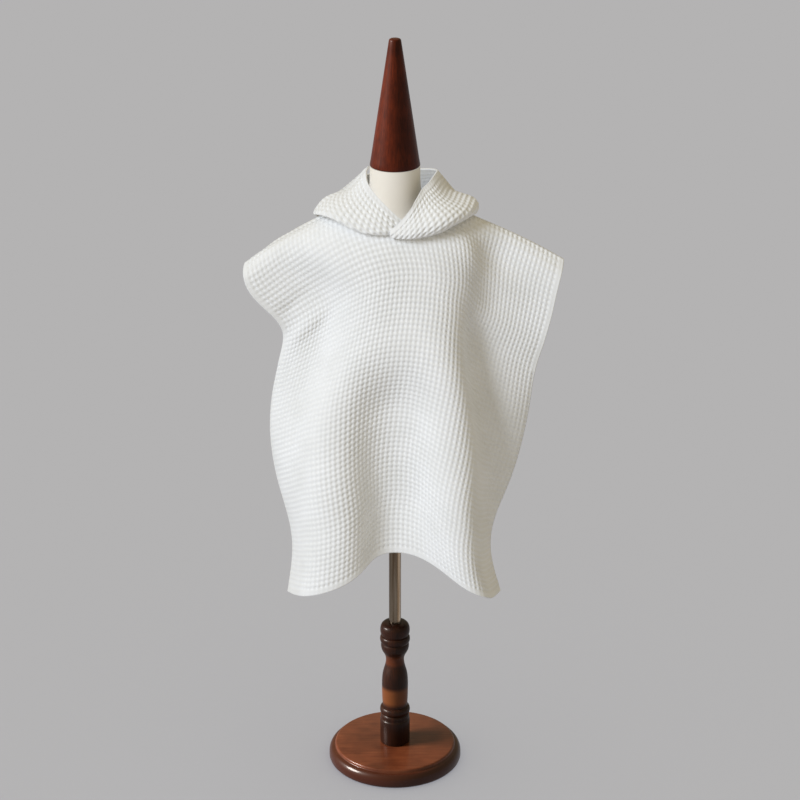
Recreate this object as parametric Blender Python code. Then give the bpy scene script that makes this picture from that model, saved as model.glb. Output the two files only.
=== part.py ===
"""Hooded bath poncho on a child-size dress form.

Metres, +Z up. The origin is the centre of the base's underside, the front
faces -Y, and +X is to the right of someone who looks at the front.

The cloth is a woven net: every thread keeps its length while the net shears.
Each panel is described by how far it stands off the plane through both
shoulders, as a plain drape plus a short table of folds, and the threads'
lengths give the rest. Distances across a panel are called s (from its middle,
to the right) and distances down it t (from the shoulder line).
"""
import math

import bmesh
import bpy
import numpy as np

# ---------------------------------------------------------------- cloth sizes
PANEL_WIDTH = 0.61
PANEL_LENGTH = 0.68
ARMHOLE_LENGTH = 0.215
WALL = 0.0024
SEAM_GAP = 0.0003

NECKLINE_HALF_WIDTH = 0.072
NECKLINE_CENTRE = -0.012
FRONT_NECK_DROP = 0.078
BACK_NECK_DROP = 0.066

FRONT, BACK = -1, 1
LEFT, RIGHT = -1, 1

# How far the cloth stands off the shoulder plane over the body and half way
# across the hem, and off the wings beyond the shoulders, left and right.
FRONT_DRAPE = {"body": 0.080, "hem": 0.096}
BACK_DRAPE = {"body": 0.077, "hem": 0.082}
WING_DRAPE = {LEFT: 0.019, RIGHT: 0.011}
ARMHOLE_HALF_GAP = {LEFT: 0.017, RIGHT: 0.011}
BODY_HALF_SPAN = {LEFT: 0.160, RIGHT: 0.140}
BODY_CENTRE = -0.010
EDGE_REACH = 0.11
TURN_REACH = {LEFT: 0.08, RIGHT: 0.17}

# The hem of the front dips below a straight cut over its left crest.
FRONT_DIP = {"centre": -0.130, "reach": 0.090, "stretch": 0.034}

# The shoulder line's inner face, from the left wing's tip to the right's.
SHOULDER_LINE = (
    # x,      z
    (-0.259, 0.974),
    (-0.200, 1.013),
    (-0.137, 1.047),
    (-0.070, 1.077),
    (0.000, 1.088),
    (0.070, 1.079),
    (0.142, 1.054),
    (0.220, 1.019),
    (0.291, 0.981),
)

# The side edges, at distances down the panel.
SIDE_EDGES = (
    # down, left x, left y, right x, right y
    (0.000, -0.259, 0.000, 0.291, 0.000),
    (0.030, -0.260, -0.004, 0.286, -0.004),
    (0.060, -0.248, -0.008, 0.280, -0.006),
    (0.100, -0.222, -0.008, 0.273, -0.006),
    (0.140, -0.199, -0.004, 0.264, -0.006),
    (0.158, -0.194, 0.000, 0.260, -0.004),
    (0.200, -0.199, 0.004, 0.249, 0.002),
    (0.280, -0.215, 0.012, 0.238, 0.014),
    (0.360, -0.220, 0.018, 0.226, 0.026),
    (0.460, -0.207, 0.022, 0.202, 0.038),
    (0.570, -0.185, 0.024, 0.172, 0.042),
    (0.680, -0.195, 0.024, 0.192, 0.040),
)

# Folds run from (s, t) to (s, t), soft across and along. A positive height
# stands away from the body, a negative one is a valley. The widths are to the
# left and to the right of the fold's line, and fade is the length of its ends.
FRONT_FOLDS = (
    # name, from s, from t, to s, to t, left, right, height from, to, fade
    ("left_valley", -0.205, 0.09, -0.300, 0.12, 0.048, 0.045, -0.008, -0.013, 0.05),
    ("underarm_ridge", -0.180, 0.11, -0.275, 0.17, 0.045, 0.050, 0.002, 0.009, 0.06),
    ("left_crest", -0.110, 0.18, -0.160, 0.68, 0.080, 0.100, 0.014, 0.042, 0.20),
    ("centre_valley", -0.066, 0.26, -0.004, 0.68, 0.064, 0.092, -0.018, -0.046, 0.14),
    ("middle_hollow", -0.010, 0.26, 0.030, 0.56, 0.060, 0.060, -0.014, -0.014, 0.14),
    ("right_crest", 0.062, 0.14, 0.180, 0.68, 0.080, 0.082, 0.018, 0.046, 0.20),
    ("right_valley", 0.148, 0.14, 0.268, 0.46, 0.074, 0.050, -0.008, -0.027, 0.16),
    ("right_shoulder", 0.138, 0.03, 0.160, 0.15, 0.050, 0.085, 0.016, 0.012, 0.07),
)
BACK_FOLDS = (
    # name, from s, from t, to s, to t, left, right, height from, to, fade
    ("left_valley", -0.185, 0.05, -0.245, 0.34, 0.052, 0.055, -0.006, -0.008, 0.12),
    ("left_crest", -0.150, 0.20, -0.180, 0.68, 0.065, 0.060, 0.016, 0.046, 0.20),
    ("left_hollow", -0.070, 0.26, -0.085, 0.68, 0.050, 0.050, -0.008, -0.026, 0.20),
    ("middle_crest", 0.030, 0.24, 0.020, 0.68, 0.052, 0.055, 0.008, 0.024, 0.20),
    ("right_hollow", 0.090, 0.26, 0.105, 0.68, 0.050, 0.050, -0.008, -0.026, 0.20),
    ("right_crest", 0.160, 0.20, 0.190, 0.68, 0.060, 0.060, 0.016, 0.046, 0.20),
)

# The threads that are followed, and the coarser grid that the solids keep.
NET_THREADS = (123, 137)
PANEL_GRID = (34, 28)
ROW_CROWDING = 1.4
HOOD_GRID = (24, 15)

# The hood lies down round the neck. Each row is a section at its place round
# the neckline, 0 at the front and 1 at the centre back, and each pair is a
# distance out from the neck seam and up from it, in millimetres.
HOOD_SECTIONS = {
    LEFT: (
        # place, under,   fold,        swell,       crown,      rim
        (-0.08, (0, 2), (0, 4), (0, 7), (-1, 11), (-2, 16)),
        (0.00, (0, 2), (1, 5), (1, 10), (0, 17), (-3, 26)),
        (0.10, (4, -1), (9, 1), (9, 11), (3, 26), (-6, 43)),
        (0.25, (12, -4), (25, -2), (21, 12), (4, 33), (-15, 58)),
        (0.375, (22, -3), (46, 2), (36, 14), (6, 34), (-20, 65)),
        (0.50, (30, -8), (66, -17), (46, 6), (8, 26), (-24, 66)),
        (0.625, (34, -12), (70, -36), (66, -14), (22, 17), (-14, 54)),
        (0.75, (34, -22), (72, -76), (84, -46), (52, 13), (13, 47)),
        (1.00, (26, -16), (56, -118), (80, -88), (84, -8), (68, 46)),
    ),
    RIGHT: (
        (-0.08, (4, -3), (7, -2), (9, 1), (8, 4), (5, 7)),
        (0.00, (5, -3), (11, -2), (13, 5), (9, 15), (3, 27)),
        (0.10, (9, -5), (18, -3), (23, 8), (11, 29), (-2, 52)),
        (0.25, (18, -8), (34, -5), (42, 9), (13, 35), (-14, 59)),
        (0.375, (26, -7), (50, -8), (60, 4), (24, 27), (-8, 56)),
        (0.50, (32, -8), (67, -17), (70, -4), (24, 22), (0, 57)),
        (0.625, (34, -14), (70, -36), (68, -13), (30, 22), (9, 52)),
        (0.75, (34, -22), (72, -76), (84, -48), (60, 18), (28, 55)),
        (1.00, (26, -16), (56, -118), (80, -88), (84, -8), (68, 46)),
    ),
}
HOOD_OVERLAP = {LEFT: 0.05, RIGHT: 0.07}
HOOD_LAP_GAP = 0.0015
MILLIMETRE = 0.001

# ------------------------------------------------------------ dress form sizes
BASE_RADIUS = 0.1225
BASE_THICKNESS = 0.033
POST_TOP = 0.280
POLE_RADIUS = 0.011
TORSO_BOTTOM = 0.600
NECK_RADIUS = 0.043
NECK_TOP = 1.150
CAP_TOP = 1.370
CAP_TIP_RADIUS = 0.0105

# Torso sections, with half width and half depth.
TORSO_SECTIONS = (
    # z,     wide,   deep
    (0.600, 0.072, 0.041),
    (0.603, 0.082, 0.048),
    (0.612, 0.090, 0.053),
    (0.640, 0.096, 0.057),
    (0.700, 0.095, 0.056),
    (0.780, 0.089, 0.061),
    (0.860, 0.094, 0.064),
    (0.930, 0.104, 0.066),
    (0.980, 0.114, 0.063),
    (1.010, 0.119, 0.058),
    (1.030, 0.117, 0.053),
    (1.042, 0.108, 0.050),
    (1.053, 0.092, 0.047),
    (1.064, 0.070, 0.045),
    (1.075, 0.053, 0.043),
    (1.090, 0.047, 0.043),
    (1.110, 0.044, 0.043),
    (1.130, 0.043, 0.043),
    (1.150, 0.043, 0.043),
)
TORSO_SIDES = 40
ROUND_SIDES = 32


# ------------------------------------------------------------------- materials
def make_material(name, colour, roughness, metallic=0.0):
    material = bpy.data.materials.new(name)
    material.use_nodes = True
    shader = material.node_tree.nodes["Principled BSDF"]
    shader.inputs["Base Color"].default_value = (*colour, 1.0)
    shader.inputs["Roughness"].default_value = roughness
    shader.inputs["Metallic"].default_value = metallic
    material.diffuse_color = (*colour, 1.0)
    return material


def make_materials():
    return {
        "cloth": make_material("white_waffle_cotton", (0.82, 0.81, 0.78), 0.9),
        "cover": make_material("form_cotton_cover", (0.72, 0.68, 0.60), 0.85),
        "wood": make_material("stained_wood", (0.10, 0.028, 0.012), 0.3),
        "steel": make_material("polished_steel", (0.62, 0.60, 0.57), 0.25, 1.0),
    }


# ------------------------------------------------------------------- mathematics
def spline(knots, values, at):
    """Natural cubic spline through values at knots, read at the given places."""
    knots = np.asarray(knots, float)
    values = np.asarray(values, float)
    at = np.asarray(at, float)
    count = len(knots)
    gap = np.diff(knots)
    matrix = np.eye(count)
    right = np.zeros(count)
    for i in range(1, count - 1):
        matrix[i, i - 1:i + 2] = gap[i - 1], 2 * (gap[i - 1] + gap[i]), gap[i]
        right[i] = 6 * ((values[i + 1] - values[i]) / gap[i] - (values[i] - values[i - 1]) / gap[i - 1])
    bend = np.linalg.solve(matrix, right)
    i = np.clip(np.searchsorted(knots, at) - 1, 0, count - 2)
    after = at - knots[i]
    before = knots[i + 1] - at
    curve = (bend[i] * before ** 3 + bend[i + 1] * after ** 3) / (6 * gap[i])
    lower = (values[i] / gap[i] - bend[i] * gap[i] / 6) * before
    upper = (values[i + 1] / gap[i] - bend[i + 1] * gap[i] / 6) * after
    return curve + lower + upper


def smooth(x):
    """0 below 0, 1 above 1, and a soft step between."""
    x = np.clip(x, 0.0, 1.0)
    return x * x * (3 - 2 * x)


def bell(x):
    return np.exp(-x ** 2)


# ------------------------------------------------------------------- cloth panels
def fold_height(folds, s, t):
    """Sum of the table's folds at (s, t)."""
    total = np.zeros_like(s)
    for _, s0, t0, s1, t1, left, right, height0, height1, fade in folds:
        along = (t - t0) / (t1 - t0)
        height = height0 + (height1 - height0) * smooth(along)
        height *= smooth((t - t0) / fade)
        if t1 < PANEL_LENGTH:
            height *= smooth((t1 + fade - t) / fade)
        off = s - (s0 + (s1 - s0) * np.clip(along, 0.0, 1.3))
        total += height * bell(off / np.where(off < 0, left, right))
    edge_fade = 1 - np.abs(2 * s / PANEL_WIDTH) ** 8
    return total * edge_fade * smooth(t / 0.05)


def panel_depth(side, s, t):
    """How far the panel stands off the shoulder plane at (s, t)."""
    drape = FRONT_DRAPE if side == FRONT else BACK_DRAPE
    folds = FRONT_FOLDS if side == FRONT else BACK_FOLDS
    span = np.where(s < BODY_CENTRE, BODY_HALF_SPAN[LEFT], BODY_HALF_SPAN[RIGHT])
    over_body = np.exp(-np.abs((s - BODY_CENTRE) / span) ** 4)
    wing = np.where(s < 0, WING_DRAPE[LEFT], WING_DRAPE[RIGHT])
    shoulder = wing + (drape["body"] - wing) * over_body
    roll = np.array([math.erf(x) for x in t * 0.86 / shoulder])
    hem = drape["hem"] * (1 - np.abs(2 * s / PANEL_WIDTH) ** 1.8)
    lower = smooth((t - 0.10) / 0.45)
    return shoulder * roll * (1 - lower) + hem * lower + fold_height(folds, s, t)


def side_seams(t):
    """Each side edge at distances t down: x, y, half the armhole's gap, and z."""
    table = np.array(SIDE_EDGES)
    opening = (1 - smooth(t / ARMHOLE_LENGTH)) * smooth(t / 0.03)
    seams = {}
    for half, column, shoulder in ((LEFT, 1, SHOULDER_LINE[0]), (RIGHT, 3, SHOULDER_LINE[-1])):
        x, y = (spline(table[:, 0], table[:, column + k], t) for k in (0, 1))
        gap = ARMHOLE_HALF_GAP[half] * opening
        moved = np.diff(x) ** 2 + np.diff(y) ** 2 + np.diff(gap) ** 2
        fall = np.sqrt(np.clip(np.diff(t) ** 2 - moved, 0, None))
        seams[half] = x, y, gap, shoulder[1] - np.r_[0, np.cumsum(fall)]
    return seams


def panel_net(side):
    """The panel's inner face, as thread crossings at even s and t."""
    count_s, count_t = NET_THREADS
    s = np.linspace(-PANEL_WIDTH / 2, PANEL_WIDTH / 2, count_s)
    t = np.linspace(0, PANEL_LENGTH, count_t)
    step_s, step_t = s[1] - s[0], t[1] - t[0]
    line = np.array(SHOULDER_LINE)
    chord = np.r_[0, np.cumsum(np.hypot(*np.diff(line, axis=0).T))]
    share = (s / PANEL_WIDTH + 0.5) * chord[-1]
    seams = side_seams(t)
    from_edge = {LEFT: s - s[0], RIGHT: s[-1] - s}
    near = {half: bell(away / EDGE_REACH) for half, away in from_edge.items()}
    turn = {half: np.clip(1 - away / TURN_REACH[half], 0, 1) ** 2 for half, away in from_edge.items()}
    dip = FRONT_DIP["stretch"] * (side == FRONT)
    thread = step_t * (1 + dip * bell((s - FRONT_DIP["centre"]) / FRONT_DIP["reach"]))
    ends = {LEFT: 0, RIGHT: -1}
    net = np.zeros((count_t, count_s, 3))
    net[0, :, 0] = spline(chord, line[:, 0], share)
    net[0, :, 2] = spline(chord, line[:, 1], share)
    for j in range(1, count_t):
        row, above = net[j], net[j - 1]
        row[:, 1] = side * panel_depth(side, s, np.full_like(s, t[j]))
        for half, (_, y, gap, _) in seams.items():
            row[:, 1] += (y[j] + side * gap[j] - row[ends[half], 1]) * turn[half]
        slope = (np.diff(row[:, 1]) ** 2 + np.diff(above[:, 2]) ** 2) / step_s ** 2
        across = np.r_[0, np.cumsum(np.sqrt(np.clip(1 - slope, 0.06, 1)))]
        left_x, right_x = seams[LEFT][0][j], seams[RIGHT][0][j]
        row[:, 0] = left_x + (right_x - left_x) * across / across[-1]
        moved = ((row[:, :2] - above[:, :2]) ** 2).sum(axis=1)
        row[:, 2] = above[:, 2] - np.sqrt(np.clip(thread ** 2 - moved, (0.1 * step_t) ** 2, None))
        row[1:-1, 2] = (row[:-2, 2] + 2 * row[1:-1, 2] + row[2:, 2]) / 4
        for half, (_, _, _, z) in seams.items():
            row[:, 2] += (z[j] - row[ends[half], 2]) * near[half]
    net[:, :, 1] += side * SEAM_GAP / 2
    return net


def net_normals(net, side):
    """Unit normals of a net, pointing away from the body."""
    across = np.gradient(net, axis=1)
    down = np.gradient(net, axis=0)
    normal = side * np.cross(across, down)
    return normal / np.linalg.norm(normal, axis=2, keepdims=True)


def read_net(grid, s, t):
    """Values of a net's grid between its threads, at (s, t)."""
    count_s, count_t = NET_THREADS
    i = np.clip((s / PANEL_WIDTH + 0.5) * (count_s - 1), 0, count_s - 1.001)
    j = np.clip(t / PANEL_LENGTH * (count_t - 1), 0, count_t - 1.001)
    i0, j0 = i.astype(int), j.astype(int)
    u, v = (i - i0)[..., None], (j - j0)[..., None]
    top = grid[j0, i0] * (1 - u) + grid[j0, i0 + 1] * u
    bottom = grid[j0 + 1, i0] * (1 - u) + grid[j0 + 1, i0 + 1] * u
    return top * (1 - v) + bottom * v


def neckline(side, s):
    """Where the panel's neckline lies at s, as a distance down the panel."""
    drop = FRONT_NECK_DROP if side == FRONT else BACK_NECK_DROP
    return drop * np.sqrt(np.clip(1 - ((s - NECKLINE_CENTRE) / NECKLINE_HALF_WIDTH) ** 2, 0, 1))


def panel_faces(side, net, normals):
    """Inner and outer points of a panel, from its neckline and shoulders down."""
    columns, rows = PANEL_GRID
    down = np.linspace(0, 1, rows + 1) ** ROW_CROWDING
    s, v = np.meshgrid(np.linspace(-0.5, 0.5, columns + 1) * PANEL_WIDTH, down)
    start = neckline(side, s)
    t = start + v * (PANEL_LENGTH - start)
    inner = read_net(net, s, t)
    normal = read_net(normals, s, t)
    normal /= np.linalg.norm(normal, axis=2, keepdims=True)
    return inner, inner + normal * WALL


# ------------------------------------------------------------------------- hood
def neck_seam(half, place, nets, normals):
    """Point of the neck seam at a place round it, and the way out from the neck."""
    angle = place * math.pi
    side = FRONT if angle <= math.pi / 2 else BACK
    s = np.array([NECKLINE_CENTRE + half * NECKLINE_HALF_WIDTH * math.sin(angle)])
    t = neckline(side, s)
    point = read_net(nets[side], s, t)[0]
    normal = read_net(normals[side], s, t)[0]
    outward = np.array([half * math.sin(angle), -math.cos(angle), 0.0])
    seam = point + normal * (2 * WALL + SEAM_GAP)
    if half == RIGHT:
        seam += outward * (WALL + HOOD_LAP_GAP) * (1 - smooth((place - HOOD_OVERLAP[LEFT]) / 0.1))
    return seam, outward


def hood_section(half, place):
    """Offsets out and up along the hood's section at a place round the neck."""
    table = HOOD_SECTIONS[half]
    places = [row[0] for row in table]
    offsets = np.array([((0, 0), *row[1:]) for row in table], float) * MILLIMETRE
    knots = [[float(spline(places, offsets[:, k, c], place)) for c in (0, 1)] for k in range(offsets.shape[1])]
    knots = np.array(knots)
    chord = np.r_[0, np.cumsum(np.hypot(*np.diff(knots, axis=0).T))]
    share = np.linspace(0, chord[-1], HOOD_GRID[1] + 1)
    return spline(chord, knots[:, 0], share), spline(chord, knots[:, 1], share)


def hood_faces(half, nets, normals):
    """Inner and outer points of one half of the hood."""
    columns, rows = HOOD_GRID
    inner = np.zeros((columns + 1, rows + 1, 3))
    centre_back = 1 - SEAM_GAP
    for i, place in enumerate(np.linspace(-HOOD_OVERLAP[half], centre_back, columns + 1)):
        seam, outward = neck_seam(half, place, nets, normals)
        out, up = hood_section(half, place)
        inner[i] = seam + out[:, None] * outward + up[:, None] * np.array([0, 0, 1.0])
    inner[-1, :, 0] = half * SEAM_GAP / 2
    along = np.gradient(inner, axis=1)
    around = np.gradient(inner, axis=0)
    normal = half * np.cross(along, around)
    normal /= np.linalg.norm(normal, axis=2, keepdims=True)
    normal[-1, :, 0] = 0
    return inner, inner + normal * WALL


# ------------------------------------------------------------------ mesh building
def add_object(name, bm, material):
    bmesh.ops.recalc_face_normals(bm, faces=bm.faces)
    mesh = bpy.data.meshes.new(name)
    bm.to_mesh(mesh)
    bm.free()
    mesh.materials.append(material)
    mesh.shade_smooth()
    mesh.set_sharp_from_angle(angle=math.radians(40))
    thing = bpy.data.objects.new(name, mesh)
    bpy.context.scene.collection.objects.link(thing)
    return thing


def add_wall(name, inner, outer, material):
    """A closed wall between two grids of points that share their layout."""
    bm = bmesh.new()
    rows, columns = inner.shape[:2]
    grids = [[[bm.verts.new(p) for p in row] for row in grid] for grid in (inner, outer)]
    for grid in grids:
        for j in range(rows - 1):
            for i in range(columns - 1):
                bm.faces.new((grid[j][i], grid[j][i + 1], grid[j + 1][i + 1], grid[j + 1][i]))
    border = [(0, i) for i in range(columns)] + [(j, columns - 1) for j in range(1, rows)]
    border += [(rows - 1, i) for i in range(columns - 2, -1, -1)] + [(j, 0) for j in range(rows - 2, 0, -1)]
    for (j0, i0), (j1, i1) in zip(border, border[1:] + border[:1]):
        bm.faces.new((grids[0][j0][i0], grids[0][j1][i1], grids[1][j1][i1], grids[1][j0][i0]))
    bmesh.ops.triangulate(bm, faces=bm.faces)
    return add_object(name, bm, material)


def add_rings(name, rings, material):
    """A closed solid through rings of points, with flat ends."""
    bm = bmesh.new()
    loops = [[bm.verts.new(p) for p in ring] for ring in rings]
    for lower, upper in zip(loops, loops[1:]):
        for i in range(len(lower)):
            k = (i + 1) % len(lower)
            bm.faces.new((lower[i], lower[k], upper[k], upper[i]))
    bm.faces.new(loops[0])
    bm.faces.new(loops[-1])
    return add_object(name, bm, material)


def add_turned(name, profile, material):
    """A turned solid from rows of radius and height, bottom to top."""
    rings = []
    for radius, z in profile:
        angles = [2 * math.pi * k / ROUND_SIDES for k in range(ROUND_SIDES)]
        rings.append([(radius * math.cos(a), radius * math.sin(a), z) for a in angles])
    return add_rings(name, rings, material)


# ------------------------------------------------------------------ the dress form
def add_base_disc(material):
    profile = (
        # radius, height
        (BASE_RADIUS - 0.0050, 0.0),
        (BASE_RADIUS - 0.0015, 0.0030),
        (BASE_RADIUS, 0.0065),
        (BASE_RADIUS, 0.0120),
        (BASE_RADIUS - 0.0020, 0.0205),
        (BASE_RADIUS - 0.0065, 0.0258),
        (BASE_RADIUS - 0.0108, 0.0270),
        (BASE_RADIUS - 0.0115, 0.0310),
        (BASE_RADIUS - 0.0140, BASE_THICKNESS),
    )
    return add_turned("base_disc", profile, material)


def add_turned_post(material):
    """Post with a cylinder foot, a groove, a ring, a belly, a waist and three rings."""
    foot = BASE_THICKNESS + SEAM_GAP
    profile = (
        # radius, height
        (0.0265, foot),
        (0.0275, foot + 0.002),
        (0.0275, 0.0795),
        (0.0258, 0.0825),
        (0.0262, 0.0880),
        (0.0240, 0.0932),
        (0.0272, 0.0970),
        (0.0277, 0.1010),
        (0.0268, 0.1050),
        (0.0226, 0.1086),
        (0.0236, 0.1250),
        (0.0241, 0.1500),
        (0.0236, 0.1670),
        (0.0221, 0.1780),
        (0.0182, 0.1925),
        (0.0167, 0.2030),
        (0.0176, 0.2110),
        (0.0204, 0.2180),
        (0.0246, 0.2260),
        (0.0258, 0.2330),
        (0.0243, 0.2395),
        (0.0272, 0.2430),
        (0.0276, 0.2468),
        (0.0268, 0.2510),
        (0.0245, 0.2542),
        (0.0266, 0.2595),
        (0.0271, 0.2650),
        (0.0258, 0.2735),
        (0.0215, 0.2785),
        (0.0140, POST_TOP),
    )
    return add_turned("turned_post", profile, material)


def add_pole(material):
    profile = ((POLE_RADIUS, POST_TOP + SEAM_GAP), (POLE_RADIUS, TORSO_BOTTOM - SEAM_GAP))
    return add_turned("pole", profile, material)


def add_torso(material):
    rings = []
    for z, wide, deep in TORSO_SECTIONS:
        angles = [2 * math.pi * k / TORSO_SIDES for k in range(TORSO_SIDES)]
        rings.append([(wide * math.cos(a), deep * math.sin(a), z) for a in angles])
    return add_rings("torso", rings, material)


def add_neck_cap(material):
    """Tall cone that closes the neck, with a small rounded tip."""
    bottom = NECK_TOP + SEAM_GAP
    shoulder = CAP_TOP - 0.004
    slope = (NECK_RADIUS - CAP_TIP_RADIUS) / (shoulder - bottom)
    profile = [(NECK_RADIUS - 0.0008, bottom), (NECK_RADIUS, bottom + 0.0015)]
    for share in (0.25, 0.5, 0.75, 1.0):
        z = bottom + (shoulder - bottom) * share
        profile.append((NECK_RADIUS - slope * (z - bottom), z))
    profile += [(CAP_TIP_RADIUS - 0.0012, CAP_TOP - 0.0015), (CAP_TIP_RADIUS - 0.0045, CAP_TOP)]
    return add_turned("neck_cap", profile, material)


# -------------------------------------------------------------------------- build
def clear_scene():
    for thing in list(bpy.data.objects):
        bpy.data.objects.remove(thing, do_unlink=True)


def build():
    clear_scene()
    materials = make_materials()
    add_base_disc(materials["wood"])
    add_turned_post(materials["wood"])
    add_pole(materials["steel"])
    add_torso(materials["cover"])
    add_neck_cap(materials["wood"])
    nets = {side: panel_net(side) for side in (FRONT, BACK)}
    normals = {side: net_normals(nets[side], side) for side in (FRONT, BACK)}
    for side, name in ((FRONT, "front_panel"), (BACK, "back_panel")):
        add_wall(name, *panel_faces(side, nets[side], normals[side]), materials["cloth"])
    for half, name in ((LEFT, "hood_left"), (RIGHT, "hood_right")):
        add_wall(name, *hood_faces(half, nets, normals), materials["cloth"])


build()
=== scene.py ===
import math

import bmesh
import bpy
import numpy as np
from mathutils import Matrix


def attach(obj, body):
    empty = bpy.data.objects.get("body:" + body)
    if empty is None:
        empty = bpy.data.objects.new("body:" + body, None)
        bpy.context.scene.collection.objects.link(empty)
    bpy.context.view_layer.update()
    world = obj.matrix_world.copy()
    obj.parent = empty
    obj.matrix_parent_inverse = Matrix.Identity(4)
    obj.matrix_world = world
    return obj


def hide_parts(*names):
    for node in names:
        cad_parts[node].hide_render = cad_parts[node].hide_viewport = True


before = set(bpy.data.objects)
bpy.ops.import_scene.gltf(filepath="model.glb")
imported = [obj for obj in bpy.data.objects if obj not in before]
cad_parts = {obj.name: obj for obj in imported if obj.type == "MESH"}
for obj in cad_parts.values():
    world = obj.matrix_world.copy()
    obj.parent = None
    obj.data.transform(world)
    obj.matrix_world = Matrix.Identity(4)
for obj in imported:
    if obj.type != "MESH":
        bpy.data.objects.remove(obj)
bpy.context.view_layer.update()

# Hooded bath poncho of cotton waffle cloth on a turned dress form.
# Metres, +Z up, the poncho's front faces -Y. A place on a panel is (s, t):
# s runs across from the panel's middle and t down from the shoulder line.

# ------------------------------------------------------------------ cloth sizes
PANEL_WIDTH = 0.61
PANEL_LENGTH = 0.68
ARMHOLE_LENGTH = 0.215
WALL = 0.0024
SEAM_GAP = 0.0003
NECKLINE_HALF_WIDTH = 0.072
NECKLINE_CENTRE = -0.012
FRONT_NECK_DROP = 0.078
BACK_NECK_DROP = 0.066
FRONT, BACK = -1, 1
LEFT, RIGHT = -1, 1

# The waffle weave: 70 cells across and 71 down, each about 9 mm with a pit.
CELLS_ACROSS = 70
CELLS_DOWN = 71
CELL_ACROSS = PANEL_WIDTH / CELLS_ACROSS
CELL_DOWN = PANEL_LENGTH / CELLS_DOWN
CELL_STEPS = 4
PIT_DEPTH = 0.0030
HOOD_PIT_DEPTH = 0.0031
RIB_PROUD = 0.0012
BAND_WIDTH = 0.0115
BAND_THICK = 0.0005

# A turned band presses the weave down to a fifth of its depth. Its edge slopes
# over BAND_EDGE, with a stitched groove beside it; sewn seams sink a little.
BAND_PRESS = 0.78
BAND_EDGE = 0.002
GROOVE_HALF_WIDTH = 0.0009
GROOVE_DEPTH = 0.0006
SEAM_HALF_WIDTH = 0.003
SEAM_SINK = 0.0009
HOOD_FRONT_SEAM_HALF_WIDTH = 0.002

# On the hood's hidden back the pits bulge by a share of their depth, and the
# girth that the weave is counted along is read at this share of its length.
HOOD_BACK_PROUD = 0.0003
HOOD_BULGE_SHARE = 0.3
HOOD_GIRTH_SHARE = 0.62

# How far the cloth stands off the shoulder plane over the body and half way
# across the hem, and off the wings beyond the shoulders, left and right.
FRONT_DRAPE = {"body": 0.080, "hem": 0.096}
BACK_DRAPE = {"body": 0.077, "hem": 0.082}
WING_DRAPE = {LEFT: 0.019, RIGHT: 0.011}
ARMHOLE_HALF_GAP = {LEFT: 0.017, RIGHT: 0.011}
BODY_HALF_SPAN = {LEFT: 0.160, RIGHT: 0.140}
BODY_CENTRE = -0.010
EDGE_REACH = 0.11
TURN_REACH = {LEFT: 0.08, RIGHT: 0.17}

# The hem of the front dips below a straight cut over its left crest.
FRONT_DIP = {"centre": -0.130, "reach": 0.090, "stretch": 0.034}

# The shoulder line's inner face, from the left wing's tip to the right's.
SHOULDER_LINE = (
    # x,      z
    (-0.259, 0.974),
    (-0.200, 1.013),
    (-0.137, 1.047),
    (-0.070, 1.077),
    (0.000, 1.088),
    (0.070, 1.079),
    (0.142, 1.054),
    (0.220, 1.019),
    (0.291, 0.981),
)

# The side edges, at distances down the panel.
SIDE_EDGES = (
    # down, left x, left y, right x, right y
    (0.000, -0.259, 0.000, 0.291, 0.000),
    (0.030, -0.260, -0.004, 0.286, -0.004),
    (0.060, -0.248, -0.008, 0.280, -0.006),
    (0.100, -0.222, -0.008, 0.273, -0.006),
    (0.140, -0.199, -0.004, 0.264, -0.006),
    (0.158, -0.194, 0.000, 0.260, -0.004),
    (0.200, -0.199, 0.004, 0.249, 0.002),
    (0.280, -0.215, 0.012, 0.238, 0.014),
    (0.360, -0.220, 0.018, 0.226, 0.026),
    (0.460, -0.207, 0.022, 0.202, 0.038),
    (0.570, -0.185, 0.024, 0.172, 0.042),
    (0.680, -0.195, 0.024, 0.192, 0.040),
)

# Folds run from (s, t) to (s, t), soft across and along. A positive height
# stands away from the body, a negative one is a valley. The widths are to the
# left and to the right of the fold's line, and fade is the length of its ends.
FRONT_FOLDS = (
    # name, from s, from t, to s, to t, left, right, height from, to, fade
    ("left_valley", -0.205, 0.09, -0.300, 0.12, 0.048, 0.045, -0.008, -0.013, 0.05),
    ("underarm_ridge", -0.180, 0.11, -0.275, 0.17, 0.045, 0.050, 0.002, 0.009, 0.06),
    ("left_crest", -0.110, 0.18, -0.160, 0.68, 0.080, 0.100, 0.014, 0.042, 0.20),
    ("centre_valley", -0.066, 0.26, -0.004, 0.68, 0.064, 0.092, -0.018, -0.046, 0.14),
    ("middle_hollow", -0.010, 0.26, 0.030, 0.56, 0.060, 0.060, -0.014, -0.014, 0.14),
    ("right_crest", 0.062, 0.14, 0.180, 0.68, 0.080, 0.082, 0.018, 0.046, 0.20),
    ("right_valley", 0.148, 0.14, 0.268, 0.46, 0.074, 0.050, -0.008, -0.027, 0.16),
    ("right_shoulder", 0.138, 0.03, 0.160, 0.15, 0.050, 0.085, 0.016, 0.012, 0.07),
)
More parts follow.
